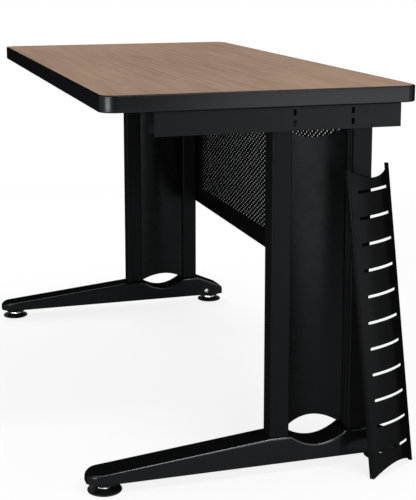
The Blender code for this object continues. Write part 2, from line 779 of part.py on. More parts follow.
def build_glide(name, end, spot, desk, looks):
    """Levelling glide: pad, stem with a collar, and the insert that the stem turns in."""
    label = name + "_" + end
    seat = empty(label + "_glide_axis", (*spot, 0), desk)
    rim = GLIDE_RADIUS
    hub = GLIDE_HUB_RADIUS
    pad = (
        (rim - GLIDE_EASE, 0),
        (rim, GLIDE_EASE),
        (rim - GLIDE_EASE / 2, GLIDE_RIM),
        (GLIDE_DISH_RADIUS, GLIDE_DISH),
        (hub + GLIDE_SHOULDER, GLIDE_PAD_TOP - GLIDE_SHOULDER),
        (hub, GLIDE_PAD_TOP),
    )
    turned(label + "_glide_pad", pad, upright, looks["glide"], seat, TURNED_SIDES)
    collar_low = GLIDE_PAD_TOP + FIT
    collar_high = BOSS_UNDER - FIT * 2
    profile = (
        (STEM_COLLAR_RADIUS, collar_low),
        (STEM_COLLAR_RADIUS, collar_high),
        (STEM_RADIUS, collar_high),
        (STEM_RADIUS, BOSS_UNDER + STEM_RISE - FIT),
        (STEM_RADIUS / 2, BOSS_UNDER + STEM_RISE),
    )
    turned(label + "_glide_stem", profile, upright, looks["fastener"], seat)
    outer = circle(STEM_RADIUS + FIT + INSERT_WALL, SMALL_SIDES)
    hole = circle(STEM_RADIUS + FIT, SMALL_SIDES)
    holder = empty(label + "_insert_axis", (*spot, 0), desk)
    top = BOSS_UNDER + INSERT_DEPTH
    extrude(label + "_glide_insert", [outer, hole], BOSS_UNDER, top, upright, looks["brass"], holder)


# Fasteners that tie the legs to the foot, the arm and the top


def build_tie_rod(name, end, spot, desk, looks):
    """Rod that clamps a post between foot and arm, its head sunk in the foot."""
    seat = FOOT_UNDER + TIE_HEAD
    profile = (
        (TIE_HEAD_RADIUS, FOOT_UNDER),
        (TIE_HEAD_RADIUS, seat),
        (TIE_RADIUS, seat),
        (TIE_RADIUS, ARM_TOP - FIT),
    )

    def place(a, b, height):
        return (spot[0] + a, spot[1] + b, height)

    turned(f"{name}_{end}_tie_rod", profile, place, looks["fastener"], desk, TINY_SIDES)


def build_arm_screw(name, end, spot, desk, looks):
    """Screw up through the arm's web into the core board."""
    under = ARM_TOP - ARM_SHEET - FIT
    profile = (
        (SCREW_HEAD_RADIUS - HEAD_CROWN, under - SCREW_HEAD),
        (SCREW_HEAD_RADIUS, under - SCREW_HEAD / 2),
        (SCREW_HEAD_RADIUS, under),
        (SCREW_RADIUS, under),
        (SCREW_RADIUS, ARM_TOP + SCREW_BITE - SCREW_RADIUS),
        (SCREW_RADIUS / 4, ARM_TOP + SCREW_BITE - FIT),
    )

    def place(a, b, height):
        return (spot[0] + a, spot[1] + b, height)

    turned(f"{name}_{end}_arm_screw", profile, place, looks["fastener"], desk, TINY_SIDES)


# Modesty panel on the backs of the back posts


def modesty_screw_heights():
    return (MODESTY_BOTTOM + MODESTY_SCREW_INSET, MODESTY_TOP - MODESTY_SCREW_INSET)


def modesty_holes():
    """Places in X and Z of the openings, in a grid that keeps clear of the panel's border."""
    width = (MODESTY_END - MODESTY_HOLE_BORDER) * 2
    height = MODESTY_TOP - MODESTY_BOTTOM - MODESTY_HOLE_BORDER * 2
    columns = int(width / MODESTY_HOLE_PITCH)
    rows = int(height / MODESTY_HOLE_PITCH)
    middle = (MODESTY_TOP + MODESTY_BOTTOM) / 2
    spots = []
    for c in range(columns):
        x = (c - (columns - 1) / 2) * MODESTY_HOLE_PITCH
        spots += [(x, middle + (r - (rows - 1) / 2) * MODESTY_HOLE_PITCH) for r in range(rows)]
    return spots


def build_modesty(desk, looks):
    front = LEG_BACK + FIT
    back = front + MODESTY_SHEET
    tail = back + MODESTY_RETURN
    low = MODESTY_BOTTOM
    high = MODESTY_TOP
    sheet = MODESTY_SHEET
    profile = (
        (front, low + sheet / 2),
        (front + sheet / 2, low),
        (tail, low),
        (tail, low + sheet),
        (back, low + sheet),
        (back, high - sheet),
        (tail, high - sheet),
        (tail, high),
        (front + sheet / 2, high),
        (front, high - sheet / 2),
    )

    def along(a, b, height):
        return (height, a, b)

    panel = extrude("modesty_panel", [profile], -MODESTY_END, MODESTY_END, along, looks["modesty"], desk)
    through = MODESTY_SHEET + FIT * 2
    shapes = []
    for x, z in modesty_holes():
        shapes.append(drill((x, front - FIT, z), (0, 1, 0), MODESTY_HOLE_RADIUS, through))
    for name, side in SIDES.items():
        for i, height in enumerate(modesty_screw_heights()):
            start = (side * TIE_X, front - FIT, height)
            shapes.append(drill(start, (0, 1, 0), SCREW_RADIUS + FIT, through, TINY_SIDES))
            build_modesty_screw(name, i + 1, (side * TIE_X, back, height), desk, looks)
    cut(panel, shapes)


def build_modesty_screw(name, number, spot, desk, looks):
    shank = MODESTY_SHEET + POST_WALL
    profile = (
        (SCREW_RADIUS, -shank),
        (SCREW_RADIUS, FIT),
        (SCREW_HEAD_RADIUS, FIT),
        (SCREW_HEAD_RADIUS, SCREW_HEAD / 2),
        (SCREW_HEAD_RADIUS - HEAD_CROWN, SCREW_HEAD),
    )

    def place(a, b, height):
        return (spot[0] + a, spot[1] + height, spot[2] + b)

    turned(f"{name}_modesty_screw_{number}", profile, place, looks["fastener"], desk, TINY_SIDES)


def make_looks():
    return {
        "walnut": material("walnut_laminate", (0.26, 0.165, 0.115), 0.45, 0.0),
        "board": material("particle_board", (0.48, 0.36, 0.23), 0.9, 0.0),
        "backer": material("backer_paper", (0.05, 0.045, 0.04), 0.8, 0.0),
        "band": material("black_edge_band", (0.022, 0.024, 0.027), 0.38, 0.0),
        "steel": material("black_steel", (0.014, 0.015, 0.016), 0.42, 0.0),
        "post": material("black_extrusion", (0.012, 0.0125, 0.0135), 0.4, 0.0),
        "panel": material("black_panel", (0.011, 0.0115, 0.012), 0.42, 0.0),
        "cover": material("black_cover", (0.012, 0.0125, 0.013), 0.45, 0.0),
        "foot": material("black_casting", (0.013, 0.0135, 0.0145), 0.4, 0.0),
        "glide": material("black_nylon", (0.012, 0.012, 0.012), 0.35, 0.0),
        "modesty": material("black_perforated_steel", (0.012, 0.0125, 0.013), 0.5, 0.0),
        "fastener": material("zinc_steel", (0.55, 0.56, 0.57), 0.32, 1.0),
        "brass": material("brass_insert", (0.62, 0.46, 0.18), 0.35, 1.0),
    }


def centre_on_floor(desk):
    """Bring the middle of the object's box, on the floor, to the origin."""
    bpy.context.view_layer.update()
    graph = bpy.context.evaluated_depsgraph_get()
    points = []
    for item in bpy.context.scene.objects:
        if item.type == "MESH" and not item.hide_render:
            made = item.evaluated_get(graph)
            points += [made.matrix_world @ vert.co for vert in made.data.vertices]
    middle = [(min(p[i] for p in points) + max(p[i] for p in points)) / 2 for i in range(2)]
    desk.location = (-middle[0], -middle[1], 0)


def build():
    clear_scene()
    looks = make_looks()
    desk = empty("desk", (0, 0, 0))
    screws = arm_screw_spots()
    build_top(desk, looks, list(screws.values()))
    for (name, end), spot in screws.items():
        build_arm_screw(name, end, spot, desk, looks)
    for name, side in SIDES.items():
        build_arm(name, side, desk, looks)
        build_foot(name, side, desk, looks)
        build_cross_bolt(name, side, desk, looks)
        build_inner_panel(name, side, desk, looks)
        for end, spot in tie_spots(side).items():
            build_post(name, side, end, desk, looks)
            build_tie_rod(name, end, spot, desk, looks)
        for end, spot in glide_spots(side).items():
            build_glide(name, end, spot, desk, looks)
    build_modesty(desk, looks)
    build_cover("right_cable_cover", lean_holder(desk), looks)
    build_cover("left_cable_cover", mounted_holder(desk), looks)
    centre_on_floor(desk)
    bpy.context.view_layer.update()


build()
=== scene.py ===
"""Looks of the teacher desk: finishes, fine meshes, studio light and the photograph's camera.

Metres, in the frame's own axes: the user sits on the -Y side, +X is the user's right, +Z is up.
"""

import json
import math

import bmesh
import bpy
import numpy as np
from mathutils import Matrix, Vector

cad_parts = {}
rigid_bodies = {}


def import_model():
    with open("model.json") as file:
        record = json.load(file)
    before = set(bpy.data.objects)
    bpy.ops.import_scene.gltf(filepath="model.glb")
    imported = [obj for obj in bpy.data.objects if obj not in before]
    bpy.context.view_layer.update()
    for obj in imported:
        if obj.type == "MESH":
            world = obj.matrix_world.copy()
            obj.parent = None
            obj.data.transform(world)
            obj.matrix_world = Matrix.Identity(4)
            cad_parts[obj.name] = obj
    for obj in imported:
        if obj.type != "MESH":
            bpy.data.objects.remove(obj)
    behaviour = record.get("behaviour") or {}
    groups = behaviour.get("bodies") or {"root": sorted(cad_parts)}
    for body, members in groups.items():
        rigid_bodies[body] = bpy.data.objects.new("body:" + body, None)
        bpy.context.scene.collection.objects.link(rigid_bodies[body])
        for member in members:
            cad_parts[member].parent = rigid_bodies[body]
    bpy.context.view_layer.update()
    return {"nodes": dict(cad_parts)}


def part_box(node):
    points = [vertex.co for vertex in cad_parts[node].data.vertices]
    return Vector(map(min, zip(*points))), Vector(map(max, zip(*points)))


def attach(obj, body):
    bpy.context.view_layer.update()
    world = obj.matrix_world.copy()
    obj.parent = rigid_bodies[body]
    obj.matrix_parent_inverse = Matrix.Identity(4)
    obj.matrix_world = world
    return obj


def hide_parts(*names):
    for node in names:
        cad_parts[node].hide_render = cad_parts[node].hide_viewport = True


for item in list(bpy.data.objects):
    bpy.data.objects.remove(item, do_unlink=True)

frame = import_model()

# Camera, from the middle of the top
CAMERA_OFFSET = (2.6441, -0.7343, 0.9760)
CAMERA_AZIMUTH = math.radians(72.9706)
CAMERA_PITCH = math.radians(10.0735)
CAMERA_LENS = 86.99
CAMERA_SENSOR = 36.0
CAMERA_SHIFT_Y = -0.16

# Stage and light
FLOOR_HALF = 14.0
FLOOR_STEPS = 28
FLOOR_WHITE_NEAR = 1.0
FLOOR_WHITE_FAR = 2.6
SHADOW_SHARE = 0.17
GLOSSY_WHITE = 0.5
GLOSSY_SHADE = 0.08
SHADE_NEAR = 0.50
SHADE_FAR = 0.74
AMBIENT = 0.42
PAPER_TONES = (0.88, 0.94)
PAPER_FIBRE = 300.0
CARD_PLACE = (2.40, -0.36)
CARD_TURN = math.radians(-15)
CARD_HALF = 0.64
CARD_TOP = 1.3

# Lamps: name, place, target, size and watts
LAMPS = (
    ("overhead", (-0.6, -0.3, 3.0), (-0.6, 0, 0.6), (2.4, 2.4), 10.5),
    ("strip", (1.95, -2.2, 0.42), (0.56, -0.25, 0.70), (1.3, 0.7), 56),
    ("side", (1.6, 0.86, 0.42), (0.5, 0.55, 0.42), (1.2, 0.8), 8),
    ("high", (1.8, 0.6, 2.7), (0.6, 0.6, 0.1), (1.3, 0.3), 36),
    ("left", (-1.9, -0.2, 1.1), (-0.5, 0.1, 0.45), (1.2, 1.2), 20),
)

# Gloss over the share a face turns away from view
GLOSS_FULL = 0.22
GLOSS_GONE = 0.52
COOL_GLOSS = (0.90, 0.95, 1.0, 1)

# Painted highlight: extra gloss on rounded edges, set by the sideways times upward share of their
# normal
EDGE_SHEEN_FROM = 0.22
EDGE_SHEEN_FULL = 0.42

# Colours
COOL_BLACK = (0.95, 0.98, 1.05)
BAND_BLACK = (0.88, 0.98, 1.12)
WALNUT_DARK = (0.284, 0.182, 0.128, 1)
WALNUT_LIGHT = (0.408, 0.288, 0.217, 1)
WALNUT_WARM = (0.362, 0.252, 0.172, 1)
WALNUT_FIBRE = (0.235, 0.148, 0.105, 1)
WALNUT_PORE = (0.165, 0.102, 0.074, 1)
CHIP_DARK = (0.33, 0.22, 0.12, 1)
CHIP_LIGHT = (0.60, 0.46, 0.30, 1)
CHIP_GAP = (0.24, 0.15, 0.08, 1)
BACKER_DARK = (0.036, 0.031, 0.027, 1)
BACKER_LIGHT = (0.075, 0.066, 0.058, 1)
BACKER_BLOTCH = (0.046, 0.041, 0.037, 1)

# Moulded and painted blacks: tone, roughness, scale and depth of the pebble, gloss straight on
MOULDED = {
    "arm_steel": (0.004, 0.40, 900.0, 0.00006, 0.085),
    "inner_panel": (0.002, 0.28, 1100.0, 0.00002, 0.085),
    "cable_cover": (0.0022, 0.34, 1300.0, 0.00006, 0.045),
    "foot_casting": (0.003, 0.13, 800.0, 0.00002, 0.13),
    "glide_pad": (0.005, 0.28, 1500.0, 0.00003, 0.12),
    "perforated_steel": (0.003, 0.46, 1200.0, 0.00004, 0.10),
}
PAD_EDGE_GLOSS = 0.003
# Painted highlight: extra gloss on the feet's rounded upper edges
FOOT_EDGE_SHEEN = 0.42

# Extruded blacks: tone, roughness, gloss straight on, stretch of the die lines, tint
EXTRUDED = {
    "edge_band": (0.0045, 0.27, 0.19, (6, 6, 900), BAND_BLACK),
    "post_extrusion": (0.0042, 0.36, 0.038, (700, 700, 3), COOL_BLACK),
}

# Metals: colour and roughness
PLATED = {
    "zinc_steel": ((0.66, 0.67, 0.68), 0.26),
    "dark_steel": ((0.030, 0.031, 0.033), 0.30),
    "brass_insert": ((0.62, 0.44, 0.17), 0.34),
}
SCRATCH_STRETCH = (700, 700, 60)
DULL_SHARE = 0.72

# Rounding and fineness
QUARTER = math.pi / 2
WELD = 0.00001
CAD_BEVEL = 0.0011
FINE_BEVEL = 0.00035
COVER_BEVEL = 0.0007
BEVEL_SEGMENTS = 2
BEVEL_ANGLE = math.radians(38)
SHARP_ANGLE = math.radians(32)
FLAT_ANGLE = math.radians(0.2)
CORNER_STEPS = 24
ROUND_SIDES = 72
HEAD_SIDES = 36

# Edge band
BAND_WALL = 0.0032
BAND_ROUND = 0.0026
BAND_CORNER = 0.030
BAND_STEPS = 6
SPINE_DEPTH = 0.009
SPINE_THICK = 0.0022

# Posts
POST_CORNER = 0.003
POST_STEPS = 8
GROOVE_INSET = 0.006
GROOVE_HALF = 0.0013
GROOVE_DEPTH = 0.004
FLUTES = 3
FLUTE_START = 0.0135
FLUTE_PITCH = 0.0075
FLUTE_RADIUS = 0.0012

# Perforated sheet
SHEET = 0.0015
HOLE_PITCH = 0.0117
HOLE_RADIUS = 0.0029
HOLE_SIDES = 12
HOLE_BORDER_END = 0.093
HOLE_BORDER_LOW = 0.041
HOLE_BORDER_HIGH = 0.008
SHEET_BEND = 0.0024
BEND_STEPS = 5
FOLD_MITRE = 0.030

# Inner panels and cable covers
SHEET_BOW = 0.012
END_ARC = 0.020
PANEL_SHEET = 0.002
PANEL_TUCK = 0.004
BOW_COLUMNS = 48
COVER_SHEET = 0.0022
COVER_LIP = 0.011
COVER_BEND = 0.003
COVER_SLOTS = 11
COVER_SLOT_PITCH = 0.0496
COVER_SLOT_RISE = 0.0035
COVER_SLOT_LENGTH = 0.092
COVER_SLOT_HEIGHT = 0.0052
NOTCH_RADIUS = 0.0036
NOTCH_OUT = 0.0005
NOTCH_STEPS = 10
SLOT_END_STEPS = 6
COVER_SIDE_COLUMNS = 4
COVER_BEND_STEPS = 5
LEAN_SCAN = 0.03
LEAN_TRIES = 6001

# Glides
PAD_PROFILE = (
    (0.0290, 0.0000), (0.0308, 0.0003), (0.0320, 0.0010), (0.0325, 0.0021), (0.0323, 0.0032),
    (0.0316, 0.0040), (0.0305, 0.0044), (0.0294, 0.0042), (0.0284, 0.0042), (0.0264, 0.0048),
    (0.0226, 0.0058), (0.0204, 0.0066), (0.0193, 0.0073), (0.0187, 0.0080), (0.0180, 0.0084),
    (0.0170, 0.0085),
)
COLLAR_CORNER = 0.0165
COLLAR_LOW = 0.0088
COLLAR_HIGH = 0.0139
COLLAR_CHAMFER = 0.0006
COLLAR_TAPER = 0.0014
STEM_RADIUS = 0.004
THREAD_PITCH = 0.00125
THREAD_DEPTH = 0.0005

# Fasteners: the dome of a head in shares of its radius and height
HEAD_HEIGHT = 0.0025
HEAD_DOME = ((0.72, 0.97), (0.88, 0.85), (0.97, 0.62), (1.0, 0.3), (1.0, 0.0))
SOCKET_FLOOR = 0.35
SOCKET_RIM = 1.12
BOLT_SOCKET = 0.45
BOLT_SHANK_SHARE = 0.5
BOLT_SHANK = 0.012
SCREW_SOCKET = 0.48
SCREW_RADIUS = 0.002
SCREW_SHANK = 0.004
STUD_PROFILE = (
    (0.0016, -0.0050), (0.0016, 0.0003), (0.0028, 0.0003), (0.0030, 0.0007),
    (0.0028, 0.0012), (0.0022, 0.0016), (0.0013, 0.0019), (0.0004, 0.0020),
)

NODES = frame["nodes"]
BAND_LOW, BAND_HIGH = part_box("edge_band")
DESK_MID = (BAND_LOW + BAND_HIGH) / 2
SIDES = {"right": 1, "left": -1}
ENDS = {"front": -1, "back": 1}
STUD_NUMBERS = (1, 2, 3)
SCREW_NUMBERS = (1, 2)


# Node helpers


def add_node(tree, kind, settings=None, **inputs):
    """Add a shader node; an input is a value or a socket, named with _ for a space."""
    made = tree.nodes.new(kind)
    for key, value in (settings or {}).items():
        setattr(made, key, value)
    for key, value in inputs.items():
        feed(tree, made.inputs[key.replace("_", " ")], value)
    return made


def feed(tree, socket, value):
    if isinstance(value, bpy.types.NodeSocket):
        tree.links.new(value, socket)
    else:
        socket.default_value = value


def combine(tree, operation, first, second):
    made = tree.nodes.new("ShaderNodeMath")
    made.operation = operation
    feed(tree, made.inputs[0], first)
    feed(tree, made.inputs[1], second)
    return made.outputs[0]


def mix_colour(tree, share, first, second):
    made = tree.nodes.new("ShaderNodeMix")
    made.data_type = "RGBA"
    feed(tree, made.inputs[0], share)
    feed(tree, made.inputs[6], first)
    feed(tree, made.inputs[7], second)
    return made.outputs[2]


def spread(tree, value, low, high, to_low=0.0, to_high=1.0):
    """Map a range to another, kept within it."""
    made = add_node(tree, "ShaderNodeMapRange", Value=value, From_Min=low, From_Max=high)
    made.inputs["To Min"].default_value = to_low
    made.inputs["To Max"].default_value = to_high
    return made.outputs[0]


def place_coords(tree, stretch=(1, 1, 1)):
    coords = add_node(tree, "ShaderNodeTexCoord")
    mapping = add_node(tree, "ShaderNodeMapping", Vector=coords.outputs["Object"], Scale=stretch)
    return mapping.outputs[0]


def noise(tree, vector, scale, detail=4.0, roughness=0.55):
    made = add_node(
        tree, "ShaderNodeTexNoise", Vector=vector, Scale=scale, Detail=detail, Roughness=roughness
    )
    return made.outputs[0]


def new_material(name):
    made = bpy.data.materials.new(name)
    made.use_nodes = True
    return made, made.node_tree, made.node_tree.nodes["Principled BSDF"]


def set_bump(tree, shader, height, depth):
    made = add_node(tree, "ShaderNodeBump", Height=height, Distance=depth, Strength=1.0)
    tree.links.new(made.outputs[0], shader.inputs["Normal"])


def set_gloss(tree, shader, level, edge=0.0, edge_sheen=0.0):
    """Gloss that falls off where a face turns from view, plus extra gloss on upper edges that face
    sideways, a painted highlight.
    """
    facing = add_node(tree, "ShaderNodeLayerWeight", Blend=0.5)
    gloss = spread(tree, facing.outputs["Facing"], GLOSS_FULL, GLOSS_GONE, level, edge)
    # Painted highlight: gloss raised on edges whose normal faces up and sideways
    if edge_sheen:
        surface = add_node(tree, "ShaderNodeNewGeometry")
        turned = add_node(tree, "ShaderNodeSeparateXYZ", Vector=surface.outputs["Normal"])
        sideways = combine(tree, "ABSOLUTE", turned.outputs["X"], 0.0)
        lean = combine(tree, "MULTIPLY", sideways, turned.outputs["Z"])
        wear_and_sheen = spread(tree, lean, EDGE_SHEEN_FROM, EDGE_SHEEN_FULL, 0.0, edge_sheen)
        gloss = combine(tree, "ADD", gloss, wear_and_sheen)
    tree.links.new(gloss, shader.inputs["Specular IOR Level"])
    shader.inputs["Specular Tint"].default_value = COOL_GLOSS


def grey(level, tint=(1.0, 1.0, 1.0)):
    return (level * tint[0], level * tint[1], level * tint[2], 1)


# Materials


def walnut_laminate():
    """Printed walnut laminate: long straight grain along X, fine pores, a satin sealed surface."""
    made, tree, shader = new_material("walnut_laminate")
    drift = noise(tree, place_coords(tree, (0.7, 4.0, 1)), scale=2.2, detail=3.0)
    streaks = noise(tree, place_coords(tree, (1.1, 46, 1)), scale=3.0, detail=6.0, roughness=0.6)
    fibres = noise(tree, place_coords(tree, (9, 420, 1)), scale=2.0, detail=4.0, roughness=0.65)
    pores = noise(tree, place_coords(tree, (26, 900, 1)), scale=1.6, detail=2.0, roughness=0.5)
    slow = combine(tree, "MULTIPLY", drift, 0.35)
    figure = combine(tree, "ADD", slow, combine(tree, "MULTIPLY", streaks, 0.65))
    base = mix_colour(tree, spread(tree, figure, 0.36, 0.64), WALNUT_DARK, WALNUT_LIGHT)
    warm = mix_colour(tree, spread(tree, drift, 0.45, 0.7, 0.0, 0.4), base, WALNUT_WARM)
    fibre = mix_colour(tree, spread(tree, fibres, 0.42, 0.72, 0.0, 0.4), warm, WALNUT_FIBRE)
    pore = mix_colour(tree, spread(tree, pores, 0.63, 0.75, 0.0, 0.5), fibre, WALNUT_PORE)
    tree.links.new(pore, shader.inputs["Base Color"])
    tree.links.new(spread(tree, fibres, 0.3, 0.7, 0.46, 0.6), shader.inputs["Roughness"])
    set_gloss(tree, shader, level=0.2)
    set_bump(tree, shader, combine(tree, "SUBTRACT", fibres, pores), depth=0.00008)
    return made


def moulded_black(name, edge=0.0, edge_sheen=0.0):
    """Black finish with a fine pebble, a slow drift in tone, faint rub spots in its roughness and an
    optional painted highlight on upper edges.
    """
    level, roughness, peel_scale, peel_depth, gloss = MOULDED[name]
    made, tree, shader = new_material(name)
    coords = place_coords(tree)
    drift = noise(tree, coords, scale=5.0, detail=3.0)
    peel = noise(tree, coords, scale=peel_scale, detail=3.0, roughness=0.5)
    rub = noise(tree, coords, scale=38.0, detail=6.0, roughness=0.7)
    low, high, bright = (grey(level * share, COOL_BLACK) for share in (0.8, 1.2, 1.9))
    tone = mix_colour(tree, spread(tree, drift, 0.3, 0.7), low, high)
    tone = mix_colour(tree, spread(tree, peel, 0.45, 0.75, 0.0, 0.35), tone, bright)
    tree.links.new(tone, shader.inputs["Base Color"])
    slow = spread(tree, drift, 0.3, 0.7, -0.03, 0.03)
    wear_and_sheen = combine(tree, "ADD", slow, spread(tree, rub, 0.35, 0.7, -0.05, 0.06))
    tree.links.new(combine(tree, "ADD", wear_and_sheen, roughness), shader.inputs["Roughness"])
    set_gloss(tree, shader, gloss, edge, edge_sheen)
    set_bump(tree, shader, peel, peel_depth)
    return made


def extruded_black(name):
    """Black extrusion: faint die lines along its length over a fine grain."""
    level, roughness, gloss, lines, tint = EXTRUDED[name]
    made, tree, shader = new_material(name)
    die = noise(tree, place_coords(tree, lines), scale=1.0, detail=5.0, roughness=0.6)
    grain = noise(tree, place_coords(tree), scale=900.0, detail=2.0)
    drift = noise(tree, place_coords(tree), scale=4.0, detail=3.0)
    low, high, bright = (grey(level * share, tint) for share in (0.75, 1.25, 1.8))
    tone = mix_colour(tree, spread(tree, die, 0.3, 0.7), low, high)
    tone = mix_colour(tree, spread(tree, grain, 0.5, 0.8, 0.0, 0.3), tone, bright)
    tree.links.new(tone, shader.inputs["Base Color"])
    slow = spread(tree, drift, 0.3, 0.7, -0.03, 0.03)
    wear_and_sheen = combine(tree, "ADD", slow, spread(tree, die, 0.3, 0.7, -0.05, 0.05))
    tree.links.new(combine(tree, "ADD", wear_and_sheen, roughness), shader.inputs["Roughness"])
    set_gloss(tree, shader, gloss)
    relief = combine(tree, "ADD", die, combine(tree, "MULTIPLY", grain, 0.5))
    set_bump(tree, shader, relief, depth=0.00004)
    return made


def plated_metal(name):
    """Plated metal with fine turning scratches and dull patches."""
    colour, roughness = PLATED[name]
    made, tree, shader = new_material(name)
    marks = noise(tree, place_coords(tree, SCRATCH_STRETCH), scale=2.0, detail=4.0, roughness=0.6)
    dull = noise(tree, place_coords(tree), scale=160.0, detail=4.0, roughness=0.65)
    low = tuple(c * DULL_SHARE for c in colour) + (1,)
    tone = mix_colour(tree, spread(tree, dull, 0.35, 0.65), low, (*colour, 1))
    tree.links.new(tone, shader.inputs["Base Color"])
    shader.inputs["Metallic"].default_value = 1.0
    patches = spread(tree, dull, 0.3, 0.7, 0.06, -0.04)
    wear_and_sheen = combine(tree, "ADD", patches, spread(tree, marks, 0.3, 0.7, -0.08, 0.08))
    tree.links.new(combine(tree, "ADD", wear_and_sheen, roughness), shader.inputs["Roughness"])
    set_bump(tree, shader, marks, depth=0.00003)
    return made


def particle_board():
    """Pressed chips in several tans."""
    made, tree, shader = new_material("particle_board")
    coords = place_coords(tree, (1, 1, 2.2))
    chips = add_node(tree, "ShaderNodeTexVoronoi", Vector=coords, Scale=420.0)
    fine = noise(tree, coords, scale=1500.0, detail=3.0)
    tone = add_node(tree, "ShaderNodeSeparateColor", Color=chips.outputs["Color"])
    base = mix_colour(tree, tone.outputs[0], CHIP_DARK, CHIP_LIGHT)
    base = mix_colour(tree, spread(tree, fine, 0.5, 0.8, 0.0, 0.6), base, CHIP_GAP)
    tree.links.new(base, shader.inputs["Base Color"])
    tree.links.new(spread(tree, fine, 0.3, 0.7, 0.8, 0.95), shader.inputs["Roughness"])
    set_bump(tree, shader, chips.outputs["Distance"], depth=0.0003)
    return made


def backer_paper():
    """Dark resin paper with fibres."""
    made, tree, shader = new_material("backer_paper")
    fibres = noise(tree, place_coords(tree, (1, 9, 1)), scale=160.0, detail=5.0, roughness=0.7)
    blotch = noise(tree, place_coords(tree), scale=14.0, detail=4.0)
    base = mix_colour(tree, spread(tree, fibres, 0.35, 0.7), BACKER_DARK, BACKER_LIGHT)
    base = mix_colour(tree, spread(tree, blotch, 0.4, 0.7, 0.0, 0.5), base, BACKER_BLOTCH)
    tree.links.new(base, shader.inputs["Base Color"])
    tree.links.new(spread(tree, fibres, 0.3, 0.7, 0.68, 0.86), shader.inputs["Roughness"])
    set_bump(tree, shader, fibres, depth=0.0001)
    return made


def make_looks():
    # The feet get a painted highlight: extra gloss on their rounded upper edges
    extras = {"glide_pad": {"edge": PAD_EDGE_GLOSS}, "foot_casting": {"edge_sheen": FOOT_EDGE_SHEEN}}
    looks = {
        "walnut_laminate": walnut_laminate(),
        "particle_board": particle_board(),
        "backer_paper": backer_paper(),
    }
    looks.update({name: extruded_black(name) for name in EXTRUDED})
    looks.update({name: moulded_black(name, **extras.get(name, {})) for name in MOULDED})
    looks.update({name: plated_metal(name) for name in PLATED})
    return looks


LOOKS = make_looks()


# Mesh helpers


def piece(name, bm, slot, body, *nodes, look=None):
    """Finish a mesh as a piece that rides on a body and stands for CAD nodes."""
    bmesh.ops.recalc_face_normals(bm, faces=bm.faces[:])
    mesh = bpy.data.meshes.new(name)
    bm.to_mesh(mesh)
    bm.free()
    mesh.shade_smooth()
    mesh.set_sharp_from_angle(angle=SHARP_ANGLE)
    mesh.materials.append(LOOKS[look or slot])
    made = bpy.data.objects.new(name, mesh)
    bpy.context.scene.collection.objects.link(made)
    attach(made, body)
    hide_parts(*nodes)
    return made


def soften(made, width):
    """Round the sharp edges of a piece and even out its shading."""
    bevel = made.modifiers.new("edges", "BEVEL")
    bevel.width = width
    bevel.segments = BEVEL_SEGMENTS
    bevel.limit_method = "ANGLE"
    bevel.angle_limit = BEVEL_ANGLE
    normals = made.modifiers.new("normals", "WEIGHTED_NORMAL")
    normals.keep_sharp = True


def thicken(made, thickness, offset=0.0):
    solid = made.modifiers.new("thickness", "SOLIDIFY")
    solid.thickness = thickness
    solid.offset = offset
    solid.use_even_offset = True


def skin(bm, sections, ring=False):
    """Faces between closed sections of equal count, with end caps unless they form a ring."""
    rows = [[bm.verts.new(point) for point in section] for section in sections]
    pairs = list(zip(rows, rows[1:]))
    if ring:
        pairs.append((rows[-1], rows[0]))
    for low, high in pairs:
        for i in range(len(low)):
            j = (i + 1) % len(low)
            bm.faces.new((low[i], low[j], high[j], high[i]))
    if not ring:
        bm.faces.new(rows[0][::-1])
        bm.faces.new(rows[-1])


def arc(centre, radius, start, end, steps):
    turns = [start + (end - start) * i / steps for i in range(steps + 1)]
    return [(centre[0] + radius * math.cos(t), centre[1] + radius * math.sin(t)) for t in turns]


def round_section(radius, sides):
    return arc((0, 0), radius, 0, 2 * math.pi * (sides - 1) / sides, sides - 1)


def hex_section(corner, limit, sides):
    """Six-sided section with its corners cut off at a radius."""
    points = []
    for i in range(sides):
        turn = 2 * math.pi * i / sides
        reach = corner * math.cos(math.pi / 6) / math.cos(turn % (math.pi / 3) - math.pi / 6)
        reach = min(reach, limit)
        points.append((reach * math.cos(turn), reach * math.sin(turn)))
    return points


def lathe(profile, sides, place):
    """Sections of (radius, height) pairs; place turns (a, b, height) into a point."""
    return [[place(a, b, h) for a, b in round_section(r, sides)] for r, h in profile]


def weld_and_smooth():
    """Geometry nodes that join the frame's loose triangles and shade them smooth."""
    group = bpy.data.node_groups.new("weld_and_smooth", "GeometryNodeTree")
    group.interface.new_socket("Geometry", in_out="INPUT", socket_type="NodeSocketGeometry")
    group.interface.new_socket("Geometry", in_out="OUTPUT", socket_type="NodeSocketGeometry")
    start = group.nodes.new("NodeGroupInput")
    end = group.nodes.new("NodeGroupOutput")
    weld = group.nodes.new("GeometryNodeMergeByDistance")
    weld.inputs["Distance"].default_value = WELD
    smooth = group.nodes.new("GeometryNodeSetMeshNormal")
    smooth.mode = "SHARPNESS"
    smooth.inputs["Remove Custom"].default_value = True
    group.links.new(start.outputs[0], weld.inputs[0])
    group.links.new(weld.outputs[0], smooth.inputs[0])
    group.links.new(smooth.outputs[0], end.inputs[0])
    return group


SMOOTH = weld_and_smooth()


def dress_cad(node, slot):
    """Give a frame node that stays its finish, softened edges and smooth shading."""
    item = NODES[node]
    item.data.materials.clear()
    item.data.materials.append(LOOKS[slot])
    smooth = item.modifiers.new("smooth", "NODES")
    smooth.node_group = SMOOTH
    flat = item.modifiers.new("flat", "DECIMATE")
    flat.decimate_type = "DISSOLVE"
    flat.angle_limit = FLAT_ANGLE
    soften(item, CAD_BEVEL)


# Top


def top_outline(offset, height):
    half = (BAND_HIGH - BAND_LOW).to_2d() / 2 + Vector((offset, offset))
    radius = BAND_CORNER + offset
    points = []
    for turn, (a, b) in enumerate(((1, 1), (-1, 1), (-1, -1), (1, -1))):
        centre = (DESK_MID.x + a * (half.x - radius), DESK_MID.y + b * (half.y - radius))
        points += arc(centre, radius, turn * QUARTER, (turn + 1) * QUARTER, CORNER_STEPS)
    return [(x, y, height) for x, y in points]


